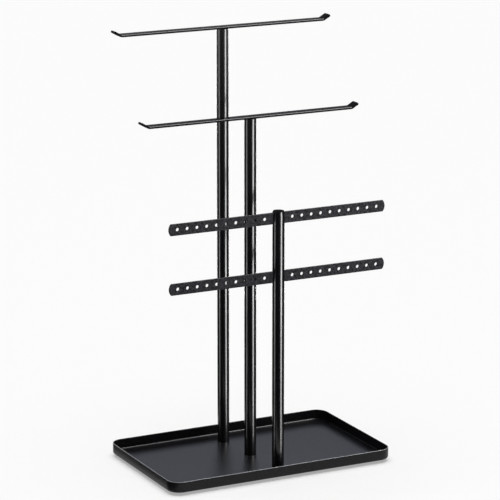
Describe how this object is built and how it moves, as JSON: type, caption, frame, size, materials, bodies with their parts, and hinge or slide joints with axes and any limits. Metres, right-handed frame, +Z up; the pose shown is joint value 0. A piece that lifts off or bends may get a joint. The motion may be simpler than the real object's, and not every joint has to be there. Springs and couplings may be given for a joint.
{
  "type": "jewelry stand",
  "caption": "Tabletop jewelry stand: black steel tray, round posts of stepped height, necklace bars with turned-up ends and perforated earring strips.",
  "frame": {"origin": "on the table, under the middle of the tray and of the whole stand", "axes": "+Z up, +X to the right along the bars and strips, +Y to the back, where the tallest post stands"},
  "size_m": [0.2635, 0.162, 0.4664],
  "materials": {
    "powder_coat": "satin black powder coat on steel",
    "black_screw": "black-zinc steel, satin",
    "zinc_steel": "bright zinc-plated steel",
    "cap_plastic": "moulded black polyethylene, matt",
    "foot_rubber": "moulded black rubber, matt"
  },
  "bodies": {
    "stand": {"tray": "powder_coat", "rear_post": "powder_coat", "middle_post": "powder_coat", "front_post": "powder_coat", "upper_earring_strip": "powder_coat", "lower_earring_strip": "powder_coat", "front_post_cap": "cap_plastic", "top_bar_screw": "black_screw", "middle_bar_screw": "black_screw", "upper_strip_screw": "black_screw", "lower_strip_screw": "black_screw", "rear_post_screw": "zinc_steel", "middle_post_screw": "zinc_steel", "front_post_screw": "zinc_steel", "rear_post_washer": "zinc_steel", "middle_post_washer": "zinc_steel", "front_post_washer": "zinc_steel", "rear_post_foot_plug": "zinc_steel", "middle_post_foot_plug": "zinc_steel", "front_post_foot_plug": "zinc_steel", "rear_post_head_plug": "zinc_steel", "middle_post_head_plug": "zinc_steel", "foot_front_left": "foot_rubber", "foot_front_right": "foot_rubber", "foot_rear_left": "foot_rubber", "foot_rear_right": "foot_rubber"},
    "top_bar": {"top_bar": "powder_coat"},
    "middle_bar": {"middle_bar": "powder_coat"}
  },
  "joints": [
    {"name": "top_bar_swivel", "type": "hinge", "parent": "stand", "child": "top_bar", "pos_m": [-0.0055, 0.054, 0.4599], "axis": [0, 0, 1], "continuous": true},
    {"name": "middle_bar_swivel", "type": "hinge", "parent": "stand", "child": "middle_bar", "pos_m": [0, 0, 0.3726], "axis": [0, 0, 1], "range_deg": [-70, 82]}
  ]
}
